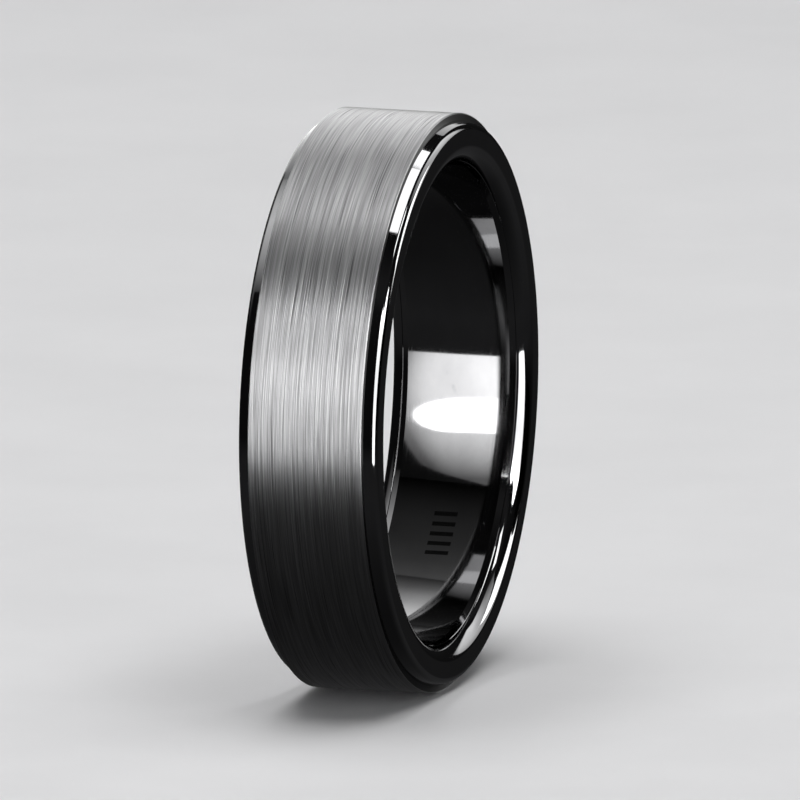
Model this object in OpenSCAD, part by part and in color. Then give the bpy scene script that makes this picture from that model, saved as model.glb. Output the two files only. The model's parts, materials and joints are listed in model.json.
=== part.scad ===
// Two-tone comfort-fit wedding band, built as a stack of four pieces.
// A dark sleeve touches the finger, a raised grey band is pressed around it, and a dark
// ring is pressed on each end and traps the band. Finger axis along X, ring upright, Z up,
// origin at the centre of the finger hole. Millimetres.

/* [Ring] */
// Width of the ring along the finger
ring_w = 6; // [4.5:0.5:9]
// Diameter of the finger hole
finger_d = 19.8; // [15:0.1:24]
// Thickness from the finger hole to the brushed face
wall_t = 2.1; // [1.75:0.05:3]

/* [Brushed band] */
// Thickness of the brushed band
band_t = 1; // [0.7:0.05:1.3]
// Height of the brushed face above the foot of the step
step_h = 0.3; // [0.1:0.05:0.6]
// Radius on the two outer corners of the brushed band
band_edge_r = 0.05; // [0.02:0.01:0.1]

/* [Edge rings] */
// Width of each edge ring, from the brushed band to the side face
edge_w = 0.55; // [0.45:0.01:1]
// Slope of the shoulder, from the foot of the step down to the side face
shoulder_slope = 15; // [0:1:25]
// Radius between the shoulder and the side face
edge_r = 0.28; // [0.1:0.01:0.4]
// Height of the flat side face's inner edge above the finger hole
side_in_h = 0.8; // [0.6:0.05:1.2]

/* [Comfort fit] */
// Width of the eased wall between the straight wall of the finger hole and the seam
ease_w = 0.6; // [0.3:0.05:1.5]
// Slope of the eased wall
ease_angle = 12; // [5:1:20]
// Break on both edges of the seam between the sleeve and each edge ring
seam_break = 0.02; // [0.01:0.005:0.03]

/* [Pressed joint] */
// Length of the spigot at each end of the sleeve
spigot_l = 0.3; // [0.15:0.01:0.4]
// Thickness of the spigot
spigot_t = 0.45; // [0.3:0.05:0.6]
// Radial gap at the pressed seats, zero for line-to-line contact
seat_gap = 0; // [0:0.005:0.02]

/* [Hidden] */
$fn = 256;

dark_metal = [0.07, 0.07, 0.08];
grey_metal = [0.62, 0.62, 0.63];

bore_r = finger_d / 2;
face_r = bore_r + wall_t;            // brushed face
shoulder_r = face_r - step_h;        // foot of the step
band_in_r = face_r - band_t;         // inside of the brushed band
sleeve_r = band_in_r - seat_gap;     // outside of the sleeve
spigot_in_r = sleeve_r - spigot_t;   // inside of the sleeve's spigots
side_in_r = bore_r + side_in_h;      // inner edge of the flat side face
half_w = ring_w / 2;
seam_x = half_w - edge_w;            // plane where the sleeve and band meet the edge rings
land_x = seam_x - ease_w;            // end of the straight wall
seam_r = bore_r + ease_w * tan(ease_angle);

// The outer round touches the sloping shoulder and the side face.
round_x = half_w - edge_r;
slope_end_x = round_x + edge_r * sin(shoulder_slope);
slope_end_r = shoulder_r - (slope_end_x - seam_x) * tan(shoulder_slope);
side_out_r = slope_end_r - edge_r * cos(shoulder_slope);

// The entry round is the arc that leaves the side face square and ends on the seam.
entry_h = side_in_r - seam_r;
entry_r = (pow(edge_w, 2) + pow(entry_h, 2)) / (2 * edge_w);

// Turns a section drawn as [radius, place along the finger] into a ring about X.
module ring_of_section() {
    rotate([0, 90, 0])
        rotate_extrude()
            children();
}

// A block of the section from r0 to r1 and x0 to x1.
module block(r0, r1, x0, x1) {
    translate([r0, x0])
        square([r1 - r0, x1 - x0]);
}

// What rounding to radius r takes from the outer corner at [corner_r, corner_x].
module outer_corner_waste(r, corner_r, corner_x) {
    difference() {
        block(corner_r - r, corner_r + r, corner_x - r, corner_x + r);
        translate([corner_r - r, corner_x - r])
            circle(r);
    }
}

// What the eased entry takes from the edge ring's inner corner.
module entry_waste() {
    difference() {
        block(seam_r - entry_r, side_in_r, half_w - entry_r, half_w + entry_r);
        translate([side_in_r, half_w - entry_r])
            circle(entry_r);
    }
}

// The right half of the sleeve's outline, from the finger hole out to its outside.
function sleeve_outline() = [
    [bore_r, land_x],
    [seam_r - seam_break * tan(ease_angle), seam_x - seam_break],
    [seam_r + seam_break, seam_x],
    [spigot_in_r, seam_x],
    [spigot_in_r, seam_x + spigot_l],
    [sleeve_r, seam_x + spigot_l]
];

function mirrored(points) = [
    for (i = [len(points) - 1 : -1 : 0])
        [points[i][0], -points[i][1]]
];

module inner_sleeve() {
    color(dark_metal)
        ring_of_section()
            polygon(concat(sleeve_outline(), mirrored(sleeve_outline())));
}

module brushed_band() {
    color(grey_metal)
        ring_of_section()
            difference() {
                block(band_in_r, face_r, -seam_x, seam_x);
                outer_corner_waste(band_edge_r, face_r, seam_x);
                mirror([0, 1])
                    outer_corner_waste(band_edge_r, face_r, seam_x);
            }
}

// The sloping shoulder, the round and the side face of the right edge ring, filled in.
module shoulder_section() {
    polygon([
        [seam_r, seam_x],
        [shoulder_r, seam_x],
        [slope_end_r, slope_end_x],
        [side_out_r, half_w],
        [seam_r, half_w]
    ]);
    intersection() {
        translate([side_out_r, round_x])
            circle(edge_r);
        block(side_out_r, shoulder_r, round_x, half_w);
    }
}

// Section of the right edge ring, with an eased entry for the finger, a break at the seam
// and a recess that takes the sleeve's spigot.
module edge_section() {
    difference() {
        shoulder_section();
        entry_waste();
        translate([seam_r, seam_x])
            rotate(45)
                square(seam_break * sqrt(2), center = true);
        block(spigot_in_r - seat_gap, band_in_r, seam_x - spigot_l, seam_x + spigot_l);
    }
}

module right_edge_ring() {
    color(dark_metal)
        ring_of_section()
            edge_section();
}

module left_edge_ring() {
    color(dark_metal)
        ring_of_section()
            mirror([0, 1])
                edge_section();
}

inner_sleeve();
brushed_band();
left_edge_ring();
right_edge_ring();
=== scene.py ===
import json
import math

import bpy
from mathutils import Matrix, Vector


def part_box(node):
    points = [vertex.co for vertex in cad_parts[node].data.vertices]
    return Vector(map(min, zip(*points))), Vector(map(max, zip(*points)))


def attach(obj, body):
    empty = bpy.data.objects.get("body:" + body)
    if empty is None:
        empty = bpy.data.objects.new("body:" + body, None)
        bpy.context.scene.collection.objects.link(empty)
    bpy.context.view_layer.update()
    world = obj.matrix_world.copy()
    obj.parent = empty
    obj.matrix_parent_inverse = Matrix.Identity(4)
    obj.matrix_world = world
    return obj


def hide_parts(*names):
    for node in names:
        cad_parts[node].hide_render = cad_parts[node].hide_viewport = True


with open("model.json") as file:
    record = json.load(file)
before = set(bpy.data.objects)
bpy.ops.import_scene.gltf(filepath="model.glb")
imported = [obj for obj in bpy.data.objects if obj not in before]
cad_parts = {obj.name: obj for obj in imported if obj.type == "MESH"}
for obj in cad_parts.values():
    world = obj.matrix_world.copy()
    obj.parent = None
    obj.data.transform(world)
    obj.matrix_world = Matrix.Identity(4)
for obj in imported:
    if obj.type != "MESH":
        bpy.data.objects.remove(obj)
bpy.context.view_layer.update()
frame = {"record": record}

# A wedding band of four pressed pieces, standing upright on a pale floor. Metres, in the CAD
# frame: finger axis along X, Z up, origin at the centre of the finger hole.

MM = 0.001
TURN_STEPS = 480      # facets around the ring
ROUND_STEPS = 12      # facets along a round of the section


# ---------------------------------------------------------------- sizes

def outer_radius(node):
    """The furthest that a node's faceted CAD mesh reaches, to the nearest 0.01 mm."""
    low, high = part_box(node)
    return round(max(-low.y, -low.z, high.y, high.z) / MM, 2) * MM


mounts = {m["name"]: m for m in frame["record"]["mounts"]}
bore_r = mounts["finger_bore"]["dims"]["r_mm"] * MM
land_x = mounts["finger_bore"]["dims"]["length_mm"] * MM / 2
half_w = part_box("right_edge_ring")[1].x
seam_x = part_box("brushed_band")[1].x
spigot_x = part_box("inner_sleeve")[1].x
face_r = outer_radius("brushed_band")
sleeve_r = outer_radius("inner_sleeve")
shoulder_r = outer_radius("right_edge_ring")

band_edge_r = 0.05 * MM
spigot_t = 0.45 * MM
seam_break = 0.02 * MM
ease_slope = math.tan(math.radians(12))
shoulder_angle = math.radians(15)
edge_r = 0.28 * MM
side_in_r = bore_r + 0.8 * MM
crown_r = 55 * MM      # polishing crowns the wall of the finger hole
crown_angle = 2.28     # degrees, where the crown ends short of the seam
crown_x = crown_r * math.sin(math.radians(crown_angle))
crown_end_r = bore_r + crown_r * (1 - math.cos(math.radians(crown_angle)))

spigot_in_r = sleeve_r - spigot_t
seam_r = bore_r + (seam_x - land_x) * ease_slope
round_x = half_w - edge_r
slope_end_x = round_x + edge_r * math.sin(shoulder_angle)
slope_end_r = shoulder_r - (slope_end_x - seam_x) * math.tan(shoulder_angle)
side_out_r = slope_end_r - edge_r * math.cos(shoulder_angle)
edge_w = half_w - seam_x
entry_h = side_in_r - seam_r
entry_r = (edge_w ** 2 + entry_h ** 2) / (2 * edge_w)
entry_slope = (seam_x - half_w + entry_r) / entry_h
entry_x = half_w - entry_r
break_x = seam_x + seam_break / (1 + entry_slope)
entry_start = -math.degrees(math.acos((break_x - entry_x) / entry_r))


# ---------------------------------------------------------------- turned pieces

def line(x0, r0, x1, r1):
    """A straight stretch of a section, as [(place, outward normal), ...]."""
    length = math.hypot(x1 - x0, r1 - r0)
    normal = ((r1 - r0) / length, -(x1 - x0) / length)
    return [((x0, r0), normal), ((x1, r1), normal)]


def round_of(x, r, radius, start, end):
    """A convex round of a section about (x, r), from one angle to another in degrees."""
    stretch = []
    for i in range(ROUND_STEPS + 1):
        a = math.radians(start + (end - start) * i / ROUND_STEPS)
        normal = (math.cos(a), math.sin(a))
        stretch.append(((x + radius * normal[0], r + radius * normal[1]), normal))
    return stretch


def joined(stretches):
    """Points of a closed section, and (point, normal there, normal at the next) for each edge."""
    points, edges = [], []
    for stretch in stretches:
        for here, following in zip(stretch, stretch[1:]):
            edges.append((len(points), here[1], following[1]))
            points.append(here[0])
    return points, edges


def turned(name, stretches, side=1):
    """Turns a closed section about X. Each stretch keeps its own normals, so flats stay flat."""
    points, edges = joined(stretches)
    count = len(points)
    vertices, faces, normals = [], [], []
    for i in range(TURN_STEPS):
        a = 2 * math.pi * i / TURN_STEPS
        c, s = math.cos(a), math.sin(a)
        vertices += [(side * x, -r * c, r * s) for x, r in points]
    for i in range(TURN_STEPS):
        turns = [2 * math.pi * (i + k) / TURN_STEPS for k in (0, 1)]
        rows = [i * count, (i + 1) % TURN_STEPS * count]
        for j, n0, n1 in edges:
            k = (j + 1) % count
            face = [(rows[0] + j, n0, turns[0]), (rows[1] + j, n0, turns[1]),
                    (rows[1] + k, n1, turns[1]), (rows[0] + k, n1, turns[0])]
            if side < 0:
                face.reverse()
            faces.append([vertex for vertex, _, _ in face])
            for _, n, t in face:
                normals.append((side * n[0], -n[1] * math.cos(t), n[1] * math.sin(t)))
    mesh = bpy.data.meshes.new(name)
    mesh.from_pydata(vertices, [], faces)
    mesh.polygons.foreach_set("use_smooth", [True] * len(faces))
    mesh.normals_split_custom_set(normals)
    piece = bpy.data.objects.new(name, mesh)
    bpy.context.scene.collection.objects.link(piece)
    return piece


def corners(*places):
    """Straight stretches from each place to the next."""
    return [line(*places[i], *places[i + 1]) for i in range(len(places) - 1)]


def sleeve_section():
    """The wall of the finger hole is crowned, never more than 0.04 mm off the CAD's."""
    break_r = seam_r - seam_break * ease_slope
    return [
        round_of(0, bore_r + crown_r, crown_r, 270 - crown_angle, 270 + crown_angle),
        *corners(
            (crown_x, crown_end_r),
            (seam_x - seam_break, break_r),
            (seam_x, seam_r + seam_break),
            (seam_x, spigot_in_r),
            (spigot_x, spigot_in_r),
            (spigot_x, sleeve_r),
            (-spigot_x, sleeve_r),
            (-spigot_x, spigot_in_r),
            (-seam_x, spigot_in_r),
            (-seam_x, seam_r + seam_break),
            (-seam_x + seam_break, break_r),
            (-crown_x, crown_end_r),
        ),
    ]


def band_section():
    flat_x, flat_r = seam_x - band_edge_r, face_r - band_edge_r
    return [
        line(-seam_x, sleeve_r, seam_x, sleeve_r),
        line(seam_x, sleeve_r, seam_x, flat_r),
        round_of(flat_x, flat_r, band_edge_r, 0, 90),
        line(flat_x, face_r, -flat_x, face_r),
        round_of(-flat_x, flat_r, band_edge_r, 90, 180),
        line(-seam_x, flat_r, -seam_x, sleeve_r),
    ]


def edge_ring_section():
    start = math.radians(entry_start)
    first = (entry_x + entry_r * math.cos(start), side_in_r + entry_r * math.sin(start))
    return [
        line(seam_x, seam_r + seam_break, *first),
        round_of(entry_x, side_in_r, entry_r, entry_start, 0),
        line(half_w, side_in_r, half_w, side_out_r),
        round_of(round_x, side_out_r, edge_r, 0, 90 - math.degrees(shoulder_angle)),
        *corners(
            (slope_end_x, slope_end_r),
            (seam_x, shoulder_r),
            (seam_x, sleeve_r),
            (spigot_x, sleeve_r),
            (spigot_x, spigot_in_r),
            (seam_x, spigot_in_r),
            (seam_x, seam_r + seam_break),
        ),
    ]


# ---------------------------------------------------------------- materials

def fill_ramp(node, stops):
    """Gives a colour ramp node its stops of (place, colour)."""
    elements = node.color_ramp.elements
    while len(elements) < len(stops):
        elements.new(0.5)
    for element, (place, colour) in zip(elements, stops):
        element.position = place
        element.color = (*colour, 1.0)


class Nodes:
    """A material's node tree, with short calls for the nodes used here."""

    def __init__(self, name):
        self.material = bpy.data.materials.new(name)
        self.material.use_nodes = True
        self.tree = self.material.node_tree
        self.shader = self.tree.nodes["Principled BSDF"]
        self.place = self.add("ShaderNodeTexCoord").outputs["Object"]

    def add(self, kind, **settings):
        node = self.tree.nodes.new(kind)
        for key, value in settings.items():
            setattr(node, key, value)
        return node

    def link(self, source, target):
        self.tree.links.new(source, target)

    def math(self, operation, a, b=0.0):
        node = self.add("ShaderNodeMath", operation=operation)
        for socket, value in zip(node.inputs, (a, b)):
            if isinstance(value, (int, float)):
                socket.default_value = value
            else:
                self.link(value, socket)
        return node.outputs[0]

    def weighted(self, *terms):
        """The sum of (value, weight) terms."""
        total = self.math("MULTIPLY", *terms[0])
        for value, weight in terms[1:]:
            total = self.math("ADD", total, self.math("MULTIPLY", value, weight))
        return total

    def noise(self, across, along, detail=2.0, seed=0.0):
        """Noise with features of these sizes, in metres, along the finger and around the ring."""
        stretch = self.add("ShaderNodeMapping")
        stretch.inputs["Scale"].default_value = (1 / across, 1 / along, 1 / along)
        stretch.inputs["Location"].default_value = (seed, 1.7 * seed, 2.3 * seed)
        self.link(self.place, stretch.inputs["Vector"])
        noise = self.add("ShaderNodeTexNoise")
        noise.inputs["Scale"].default_value = 1.0
        noise.inputs["Detail"].default_value = detail
        self.link(stretch.outputs[0], noise.inputs["Vector"])
        return noise.outputs["Fac"]

    def spread(self, value, low, high, to_low, to_high):
        """value from low..high taken to to_low..to_high, and held there outside."""
        node = self.add("ShaderNodeMapRange")
        self.link(value, node.inputs["Value"])
        for name, number in (("From Min", low), ("From Max", high),
                             ("To Min", to_low), ("To Max", to_high)):
            node.inputs[name].default_value = number
        return node.outputs["Result"]

    def ramp(self, value, *stops):
        """The colour at value, between stops of (place, colour)."""
        node = self.add("ShaderNodeValToRGB")
        fill_ramp(node, stops)
        self.link(value, node.inputs["Fac"])
        return node.outputs["Color"]

    def bump(self, height, depth, strength=1.0, below=None):
        """Relief whose height runs over depth metres."""
        node = self.add("ShaderNodeBump")
        node.inputs["Strength"].default_value = strength
        node.inputs["Distance"].default_value = depth
        self.link(height, node.inputs["Height"])
        if below is not None:
            self.link(below, node.inputs["Normal"])
        return node.outputs["Normal"]


def around_finger(n):
    """Place along the finger, angle about it and distance from its axis, as sockets."""
    apart = n.add("ShaderNodeSeparateXYZ")
    n.link(n.place, apart.inputs[0])
    x, y, z = apart.outputs
    radius = n.math("SQRT", n.math("ADD", n.math("MULTIPLY", y, y), n.math("MULTIPLY", z, z)))
    return x, n.math("ARCTAN2", z, y), radius


BAR_COUNT = 5
BAR_PITCH = math.radians(2.8)
BAR_SHARE = 0.42              # of the pitch, the rest being the gap
BAR_START = math.radians(-50)
BAR_CENTRE = 0.1 * MM
BAR_HALF_LENGTH = 0.5 * MM
CROWN_ALLOWANCE = 0.05 * MM   # a little more than the crown's rise


def etched_bars(n):
    """1 inside a plain row of short bars etched in the wall of the finger hole, else 0."""
    x, turn, radius = around_finger(n)
    on_wall = n.math("LESS_THAN", radius, bore_r + CROWN_ALLOWANCE)
    from_centre = n.math("ABSOLUTE", n.math("SUBTRACT", x, BAR_CENTRE))
    across = n.math("LESS_THAN", from_centre, BAR_HALF_LENGTH)
    count = n.math("DIVIDE", n.math("SUBTRACT", turn, BAR_START), BAR_PITCH)
    begun = n.math("GREATER_THAN", count, 0.0)
    in_row = n.math("MULTIPLY", begun, n.math("LESS_THAN", count, BAR_COUNT))
    bar = n.math("LESS_THAN", n.math("FRACT", count), BAR_SHARE)
    return n.math("MULTIPLY", n.math("MULTIPLY", on_wall, across), n.math("MULTIPLY", in_row, bar))


def polished_black():
    """Mirror-polished black plating: a faint mottle, hairline polishing marks, no dirt."""
    n = Nodes("polished_black")
    mottle = n.noise(1.4 * MM, 1.9 * MM, detail=4)
    hairs = n.noise(0.05 * MM, 2.2 * MM, detail=3, seed=4.0)
    bars = etched_bars(n)
    tone = n.math("SUBTRACT", mottle, bars)
    colour = n.ramp(tone, (0.0, (0.004, 0.004, 0.004)), (0.3, (0.18, 0.18, 0.183)),
                    (0.7, (0.21, 0.21, 0.213)))
    n.link(colour, n.shader.inputs["Base Color"])
    n.shader.inputs["Metallic"].default_value = 1.0
    gloss = n.spread(hairs, 0.35, 0.75, 0.035, 0.075)
    n.link(n.weighted((gloss, 1.0), (bars, 0.45)), n.shader.inputs["Roughness"])
    fine = n.bump(hairs, 0.00004 * MM)
    n.link(n.bump(mottle, 0.0006 * MM, below=fine), n.shader.inputs["Normal"])
    return n.material


def brushed_grey():
    """Bare grey metal brushed around the ring, with fine lines of many widths and lengths.
    The end walls, below the brushed face, are coloured near black as painted shade for the step
    down to each shoulder."""
    n = Nodes("brushed_grey")
    fine = n.noise(0.045 * MM, 3.0 * MM, detail=1, seed=1.0)
    middle = n.noise(0.090 * MM, 5.5 * MM, detail=1, seed=2.0)
    broad = n.noise(0.35 * MM, 9.0 * MM, detail=1, seed=3.0)
    cuts = n.spread(n.noise(0.060 * MM, 5.0 * MM, detail=0, seed=5.0), 0.70, 0.80, 0, 1)
    height = n.weighted((fine, 0.50), (middle, 0.42), (broad, 0.08), (cuts, -0.25))
    radius = around_finger(n)[2]
    # painted shade: the band's end walls, in the step down to each shoulder, are coloured near
    # black
    shade_painted_end_wall = n.math("LESS_THAN", radius, face_r - band_edge_r)
    tone = n.math("SUBTRACT", height, shade_painted_end_wall)
    colour = n.ramp(tone, (0.0, (0.02, 0.02, 0.02)), (0.35, (0.215, 0.215, 0.219)),
                    (0.50, (0.32, 0.32, 0.324)), (0.65, (0.43, 0.43, 0.435)))
    n.link(colour, n.shader.inputs["Base Color"])
    n.shader.inputs["Metallic"].default_value = 1.0
    n.shader.inputs["Anisotropic"].default_value = 0.9
    n.shader.inputs["Anisotropic Rotation"].default_value = 0.25
    around = n.add("ShaderNodeTangent", direction_type="RADIAL", axis="X")
    n.link(around.outputs[0], n.shader.inputs["Tangent"])
    n.link(n.spread(middle, 0.3, 0.7, 0.40, 0.46), n.shader.inputs["Roughness"])
    n.link(n.bump(height, 0.037 * MM, strength=0.9), n.shader.inputs["Normal"])
    return n.material


# ---------------------------------------------------------------- the ring

black = polished_black()
grey = brushed_grey()
pieces = [
    ("sleeve_polished", sleeve_section(), 1, "inner_sleeve", black, "polished_black"),
    ("band_brushed", band_section(), 1, "brushed_band", grey, "brushed_grey"),
    ("edge_ring_right", edge_ring_section(), 1, "right_edge_ring", black, "polished_black"),
    ("edge_ring_left", edge_ring_section(), -1, "left_edge_ring", black, "polished_black"),
]
for name, section, side, node, material, slot in pieces:
    piece = turned(name, section, side)
    piece.data.materials.append(material)
    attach(piece, "root")
    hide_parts(node)


# ---------------------------------------------------------------- camera

VIEW_AZIMUTH = math.radians(16.94)
VIEW_ELEVATION = math.radians(10.31)
PICTURE_W = 33.03 * MM
RING_LEFT_OF_CENTRE = 0.467 * MM
CAMERA_DISTANCE = 0.6


def direction(bearing, elevation):
    """A unit vector: bearing 0 is the front, -Y, and 90 the right, +X. Radians."""
    return Vector((
        math.sin(bearing) * math.cos(elevation),
        -math.cos(bearing) * math.cos(elevation),
        math.sin(elevation),
    ))


def add_camera():
    data = bpy.data.cameras.new("camera")
    data.type = "ORTHO"
    data.ortho_scale = PICTURE_W
    data.clip_start = 0.01
    data.clip_end = 10.0
    camera = bpy.data.objects.new("camera", data)
    towards = direction(VIEW_AZIMUTH, VIEW_ELEVATION)
    right = Vector((math.cos(VIEW_AZIMUTH), math.sin(VIEW_AZIMUTH), 0))
    camera.location = towards * CAMERA_DISTANCE + right * RING_LEFT_OF_CENTRE
    camera.rotation_mode = "QUATERNION"
    camera.rotation_quaternion = (-towards).to_track_quat("-Z", "Y")
    bpy.context.scene.collection.objects.link(camera)
    bpy.context.scene.camera = camera


# ---------------------------------------------------------------- light and floor

def box_outline(left, right, low, high):
    """Corners of a rectangle on a soft box, as the ring sees it."""
    return [(left, low), (right, low), (right, high), (left, high)]


def cut_outline(left, right, low, high):
    """A rectangle whose upper left corner is cut off, with its cut bending into the side."""
    bend = [(0.013, 0.002), (0.005, 0.015), (0.002, 0.021), (0.0, 0.028)]
    cut_corner = [(left + across, high - down) for across, down in bend]
    return [(right, low), (right, high), *cut_corner, (left, low)]


def lamp_outline(left, right, middle, high, low, high_bow, low_bow):
    """A rectangle whose left end is two quarter ellipses that meet at middle."""
    quarter = [math.pi / 2 * i / ROUND_STEPS for i in range(ROUND_STEPS + 1)]
    upper = [(left + high_bow * (1 - math.sin(a)), middle + (high - middle) * math.cos(a))
             for a in quarter]
    lower = [(left + low_bow * (1 - math.cos(a)), middle + (low - middle) * math.sin(a))
             for a in quarter]
    return [(right, high), *upper, *lower[1:], (right, low)]


def glow_material(name, radiance, across, up):
    """A glow whose radiance changes across and up the panel, by stops of (place, share)."""
    n = Nodes(name)
    n.tree.nodes.remove(n.shader)
    glow = n.add("ShaderNodeEmission")
    n.link(glow.outputs[0], n.tree.nodes["Material Output"].inputs["Surface"])
    apart = n.add("ShaderNodeSeparateXYZ")
    n.link(n.place, apart.inputs[0])
    glow.inputs["Strength"].default_value = strength = radiance
    for axis, fade in (("X", across), ("Y", up)):
        if fade:
            low, high = fade[0][0], fade[-1][0]
            place = n.spread(apart.outputs[axis], low, high, 0, 1)
            stops = [((at - low) / (high - low), (share,) * 3) for at, share in fade]
            strength = n.math("MULTIPLY", n.ramp(place, *stops), strength)
            n.link(strength, glow.inputs["Strength"])
    return n.material


def add_soft_box(name, bearing, elevation, distance, outline, radiance, across=(), up=()):
    """A glowing panel that faces the ring and shows only in its metal. Angles are in degrees,
    and the outline and the stops' places in metres on the panel."""
    mesh = bpy.data.meshes.new(name)
    mesh.from_pydata([(u, v, 0) for u, v in outline], [], [list(range(len(outline)))])
    mesh.materials.append(glow_material(name, radiance, across, up))
    panel = bpy.data.objects.new(name, mesh)
    away = direction(math.radians(bearing), math.radians(elevation))
    panel.location = away * distance
    panel.rotation_mode = "QUATERNION"
    panel.rotation_quaternion = away.to_track_quat("Z", "Y")
    panel.visible_camera = False
    panel.visible_diffuse = False
    panel.visible_shadow = False
    bpy.context.scene.collection.objects.link(panel)


FRONT_BEARING = -17.5     # what the finger hole's wall and the brushed face mirror
FRONT_ELEVATION = 18
FRONT_DISTANCE = 0.12


def add_front_boxes():
    """The tall panel that shows in the finger hole, and the brighter lamp in front of it."""
    add_soft_box("front_box", FRONT_BEARING, FRONT_ELEVATION, FRONT_DISTANCE,
                 cut_outline(-0.018, 0.023, -0.073, 0.075), 4.8,
                 across=((-0.016, 0.20), (-0.0132, 0.48), (-0.010, 0.70), (-0.005, 0.85),
                         (0.005, 1.0)),
                 up=((-0.073, 1.0), (-0.020, 1.0), (0.020, 0.66), (0.043, 0.36), (0.063, 0.11)))
    add_soft_box("front_lamp", FRONT_BEARING, FRONT_ELEVATION, FRONT_DISTANCE - 1 * MM,
                 lamp_outline(-0.0133, 0.019, -0.002, 0.012, -0.0235, 0.0073, 0.018), 8.3)


def add_right_boxes():
    """The wide panel on the right edge and shoulder, the small one above it, and the dark
    panel that keeps the right edge black behind it."""
    foot = [(0.006, -0.063), (0.20, -0.078)]
    leaning_side = [(0.285, 0.0), (0.385, 0.081), (0.589, 0.20)]
    top = [(0.451, 0.298), (0.332, 0.286), (0.217, 0.223), (0.117, 0.204), (0.076, 0.235),
           (0.006, 0.225)]
    add_soft_box("right_box", 25, 0, 0.25, foot + leaning_side + top, 5.5,
                 up=((-0.078, 1.4), (-0.03, 1.15), (0.02, 1.0), (0.08, 0.86), (0.14, 1.0),
                     (0.19, 2.2), (0.298, 2.2)))
    add_soft_box("right_top_box", 82, 63, 0.25, box_outline(-0.046, 0.050, -0.022, 0.022), 6.0)
    add_soft_box("black_flag", 108, 4, 0.28, box_outline(-0.11, 0.16, -0.05, 0.05), 0.0)


def add_back_boxes():
    """The bright panel on the side face's round, the dimmer ones behind the ring, and the
    panel behind and above it that lights the top of the brushed face."""
    add_soft_box("rim_box", 138, 10, 0.25,
                 [(-0.089, 0.018), (-0.060, 0.078), (-0.008, 0.044), (0.035, -0.004),
                  (0.035, -0.048), (0.0, -0.057)], 6.0)
    low_part = [(-0.063, -0.02), (-0.063, -0.125), (0.010, -0.138), (0.034, -0.104)]
    leaning_top = [(0.028, 0.055), (-0.004, 0.075), (-0.045, 0.14), (-0.09, 0.19)]
    far_side = [(-0.16, 0.19), (-0.13, 0.07)]
    add_soft_box("back_box", 155, 22, 0.26, low_part + leaning_top + far_side, 2.6,
                 across=((-0.16, 0.3), (-0.08, 0.5), (-0.04, 0.8), (-0.02, 1.0), (0.02, 1.0),
                         (0.034, 0.3)),
                 up=((-0.138, 0.3), (-0.057, 0.7), (0.04, 1.0), (0.086, 0.9), (0.19, 0.3)))
    add_soft_box("back_left_box", -155, 45, 0.25, box_outline(-0.06, 0.09, -0.24, 0.105), 2.6,
                 across=((-0.06, 1.0), (0.0, 1.0), (0.03, 0.6), (0.09, 0.35)),
                 up=((-0.24, 1.0), (-0.06, 1.0), (0.0, 0.7), (0.022, 0.55), (0.0486, 0.42),
                     (0.072, 0.22), (0.105, 0.05)))
    add_soft_box("back_strip", -176, 22, 0.26, box_outline(-0.018, 0.030, -0.045, 0.055), 1.3,
                 up=((-0.045, 0.3), (-0.02, 1.0), (0.055, 0.8)))


def add_top_boxes():
    """The panel overhead, the one on the left shoulder, and a dim one that grows brighter
    from front to back over the lower wall of the finger hole."""
    add_soft_box("overhead_box", 180, 75, 0.27,
                 [(-0.050, 0.12), (-0.018, -0.054), (-0.008, -0.125), (0.014, -0.125),
                  (0.014, 0.12)], 5.5)
    add_soft_box("left_box", -97, 50, 0.25, box_outline(-0.12, 0.13, -0.16, 0.060), 2.2,
                 across=((-0.12, 0.1), (-0.06, 0.65), (0.0, 1.0), (0.05, 0.65), (0.13, 0.1)),
                 up=((-0.16, 0.0), (-0.11, 0.18), (-0.07, 0.35), (-0.01, 1.0), (0.06, 1.0)))
    add_soft_box("zenith_box", -90, 73, 0.40, box_outline(-0.16, 0.32, -0.14, 0.14), 0.23,
                 across=((-0.16, 1.0), (-0.10, 1.0), (-0.03, 0.6), (0.05, 0.38), (0.13, 0.28),
                         (0.24, 0.10), (0.32, 0.0)))


def add_floor_fill():
    """The lamp that lights the floor and doesn't show in the metal."""
    fill = bpy.data.lights.new("floor_fill", "AREA")
    fill.size = 0.6
    fill.energy = 4.1
    lamp = bpy.data.objects.new("floor_fill", fill)
    lamp.location = (0, 0, 0.6)
    lamp.visible_camera = False
    lamp.visible_glossy = False
    bpy.context.scene.collection.objects.link(lamp)


FLOOR_R = 2.0
FLOOR_STEPS = 96


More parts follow.
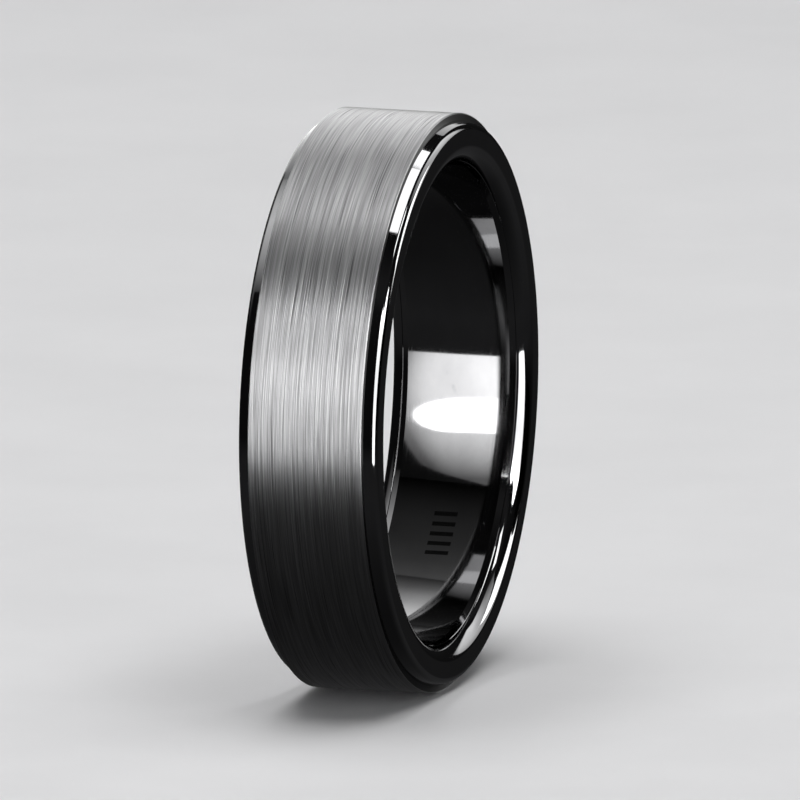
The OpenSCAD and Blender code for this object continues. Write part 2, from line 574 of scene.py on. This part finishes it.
def add_floor():
    """A pale disc under the ring, which doesn't show in the metal."""
    mesh = bpy.data.meshes.new("floor")
    turns = [2 * math.pi * i / FLOOR_STEPS for i in range(FLOOR_STEPS)]
    rim = [(FLOOR_R * math.cos(a), FLOOR_R * math.sin(a), -face_r) for a in turns]
    mesh.from_pydata(rim, [], [list(range(FLOOR_STEPS))])
    floor = bpy.data.objects.new("floor", mesh)
    bpy.context.scene.collection.objects.link(floor)
    floor.visible_glossy = False
    n = Nodes("pale_floor")
    grain = n.noise(9 * MM, 9 * MM, detail=3)
    n.link(n.ramp(grain, (0.3, (0.70, 0.70, 0.71)), (0.7, (0.73, 0.73, 0.74))),
           n.shader.inputs["Base Color"])
    n.shader.inputs["Roughness"].default_value = 0.9
    mesh.materials.append(n.material)


# Stops of (height, from 0 straight down to 1 straight up, strength of the dark walls).
WALL_SHADES = [(0.0, 0.02), (0.25, 0.05), (0.37, 0.045), (0.43, 0.012), (0.74, 0.014),
               (0.85, 0.016), (0.89, 0.04), (0.92, 0.04), (0.98, 0.012)]


def add_world():
    """Dark to the metal, as a studio's far walls are, and pale behind the floor's edge."""
    world = bpy.data.worlds.new("studio")
    world.use_nodes = True
    nodes, links = world.node_tree.nodes, world.node_tree.links
    walls = nodes["Background"]
    heights = nodes.new("ShaderNodeSeparateXYZ")
    links.new(nodes.new("ShaderNodeTexCoord").outputs["Generated"], heights.inputs[0])
    by_height = nodes.new("ShaderNodeMapRange")
    by_height.inputs["From Min"].default_value = -1
    links.new(heights.outputs["Z"], by_height.inputs["Value"])
    shades = nodes.new("ShaderNodeValToRGB")
    links.new(by_height.outputs["Result"], shades.inputs["Fac"])
    fill_ramp(shades, [(height, (strength,) * 3) for height, strength in WALL_SHADES])
    links.new(shades.outputs["Color"], walls.inputs["Strength"])
    walls.inputs["Color"].default_value = (1, 1, 1.03, 1)
    pale = nodes.new("ShaderNodeBackground")
    pale.inputs["Color"].default_value = (0.72, 0.72, 0.73, 1)
    mix = nodes.new("ShaderNodeMixShader")
    rays = nodes.new("ShaderNodeLightPath")
    links.new(rays.outputs["Is Camera Ray"], mix.inputs["Fac"])
    links.new(walls.outputs[0], mix.inputs[1])
    links.new(pale.outputs[0], mix.inputs[2])
    links.new(mix.outputs[0], nodes["World Output"].inputs["Surface"])
    bpy.context.scene.world = world


add_camera()
add_front_boxes()
add_right_boxes()
add_back_boxes()
add_top_boxes()
add_floor_fill()
add_floor()
add_world()
bpy.context.scene.view_settings.view_transform = "Standard"
